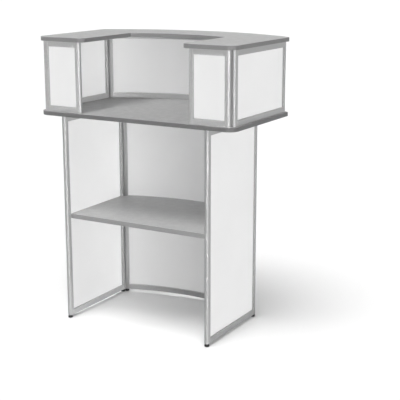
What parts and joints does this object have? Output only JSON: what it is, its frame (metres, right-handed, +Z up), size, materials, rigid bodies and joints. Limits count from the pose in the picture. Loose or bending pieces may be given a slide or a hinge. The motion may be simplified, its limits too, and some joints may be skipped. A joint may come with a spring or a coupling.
{
  "type": "reception desk",
  "caption": "Free-standing two-level reception desk: aluminium-framed white panels with a curved front, grey worktop, shelf and a C-shaped counter top open to the staff side.",
  "frame": {"origin": "centre of the desk's plan rectangle, on the floor", "axes": "+Z up, +X to the right as seen by a person facing the desk from the staff side, +Y from the staff side to the curved visitor side"},
  "size_m": [0.924, 0.615, 1.208],
  "materials": {
    "frame_aluminium": "satin silver anodised extrusion",
    "white_infill": "smooth white sheet, low sheen",
    "grey_board": "grey melamine laminate on board, fine speckle",
    "dark_edge": "dark grey edge band, satin",
    "grey_edge": "grey edge band, satin",
    "hinge_strip": "dark grey flexible strip",
    "black_foot": "black moulded plastic"
  },
  "bodies": {
    "base": {"lower_left_front_post": "frame_aluminium", "lower_left_rear_post": "frame_aluminium", "lower_left_bottom_rail": "frame_aluminium", "lower_left_top_rail": "frame_aluminium", "lower_left_infill": "white_infill", "lower_right_front_post": "frame_aluminium", "lower_right_rear_post": "frame_aluminium", "lower_right_bottom_rail": "frame_aluminium", "lower_right_top_rail": "frame_aluminium", "lower_right_infill": "white_infill", "lower_curved_left_post": "frame_aluminium", "lower_curved_right_post": "frame_aluminium", "lower_curved_bottom_rail": "frame_aluminium", "lower_curved_top_rail": "frame_aluminium", "lower_curved_infill": "white_infill", "hinge_strip_lower_left": "hinge_strip", "hinge_strip_lower_right": "hinge_strip", "shelf_support_left": "frame_aluminium", "shelf_support_right": "frame_aluminium"},
    "shelf_board": {"shelf": "grey_board", "shelf_edge_band": "grey_edge"},
    "upper": {"worktop": "grey_board", "worktop_edge_band": "dark_edge", "upper_left_front_post": "frame_aluminium", "upper_left_rear_post": "frame_aluminium", "upper_left_bottom_rail": "frame_aluminium", "upper_left_top_rail": "frame_aluminium", "upper_left_infill": "white_infill", "upper_right_front_post": "frame_aluminium", "upper_right_rear_post": "frame_aluminium", "upper_right_bottom_rail": "frame_aluminium", "upper_right_top_rail": "frame_aluminium", "upper_right_infill": "white_infill", "upper_curved_left_post": "frame_aluminium", "upper_curved_right_post": "frame_aluminium", "upper_curved_bottom_rail": "frame_aluminium", "upper_curved_top_rail": "frame_aluminium", "upper_curved_infill": "white_infill", "hinge_strip_front_left": "hinge_strip", "hinge_strip_front_right": "hinge_strip", "hinge_strip_rear_left": "hinge_strip", "hinge_strip_rear_right": "hinge_strip"},
    "return_left": {"return_left_outer_post": "frame_aluminium", "return_left_inner_post": "frame_aluminium", "return_left_bottom_rail": "frame_aluminium", "return_left_top_rail": "frame_aluminium", "return_left_infill": "white_infill"},
    "return_right": {"return_right_outer_post": "frame_aluminium", "return_right_inner_post": "frame_aluminium", "return_right_bottom_rail": "frame_aluminium", "return_right_top_rail": "frame_aluminium", "return_right_infill": "white_infill"},
    "counter_top_board": {"counter_top": "grey_board", "counter_top_edge_band": "dark_edge"},
    "foot_front_left_body": {"foot_front_left": "black_foot"},
    "foot_front_right_body": {"foot_front_right": "black_foot"},
    "foot_rear_left_body": {"foot_rear_left": "black_foot"},
    "foot_rear_right_body": {"foot_rear_right": "black_foot"},
    "foot_curved_left_body": {"foot_curved_left": "black_foot"},
    "foot_curved_right_body": {"foot_curved_right": "black_foot"}
  },
  "joints": [
    {"name": "shelf_lift", "type": "slide", "parent": "base", "child": "shelf_board", "axis": [0, 0, 1], "range_m": [0, 0.15]},
    {"name": "upper_lift", "type": "slide", "parent": "base", "child": "upper", "axis": [0, 0, 1], "range_m": [0, 0.1]},
    {"name": "return_left_hinge", "type": "hinge", "parent": "upper", "child": "return_left", "pos_m": [-0.42773, -0.2865, 1.045], "axis": [0, 0, 1], "range_deg": [-90, 45]},
    {"name": "return_right_hinge", "type": "hinge", "parent": "upper", "child": "return_right", "pos_m": [0.42773, -0.2865, 1.045], "axis": [0, 0, 1], "range_deg": [-45, 90]},
    {"name": "counter_top_lift", "type": "slide", "parent": "upper", "child": "counter_top_board", "axis": [0, 0, 1], "range_m": [0, 0.1]},
    {"name": "foot_front_left_screw", "type": "slide", "parent": "base", "child": "foot_front_left_body", "axis": [0, 0, -1], "range_m": [0, 0.01]},
    {"name": "foot_front_right_screw", "type": "slide", "parent": "base", "child": "foot_front_right_body", "axis": [0, 0, -1], "range_m": [0, 0.01]},
    {"name": "foot_rear_left_screw", "type": "slide", "parent": "base", "child": "foot_rear_left_body", "axis": [0, 0, -1], "range_m": [0, 0.01]},
    {"name": "foot_rear_right_screw", "type": "slide", "parent": "base", "child": "foot_rear_right_body", "axis": [0, 0, -1], "range_m": [0, 0.01]},
    {"name": "foot_curved_left_screw", "type": "slide", "parent": "base", "child": "foot_curved_left_body", "axis": [0, 0, -1], "range_m": [0, 0.01]},
    {"name": "foot_curved_right_screw", "type": "slide", "parent": "base", "child": "foot_curved_right_body", "axis": [0, 0, -1], "range_m": [0, 0.01]}
  ]
}
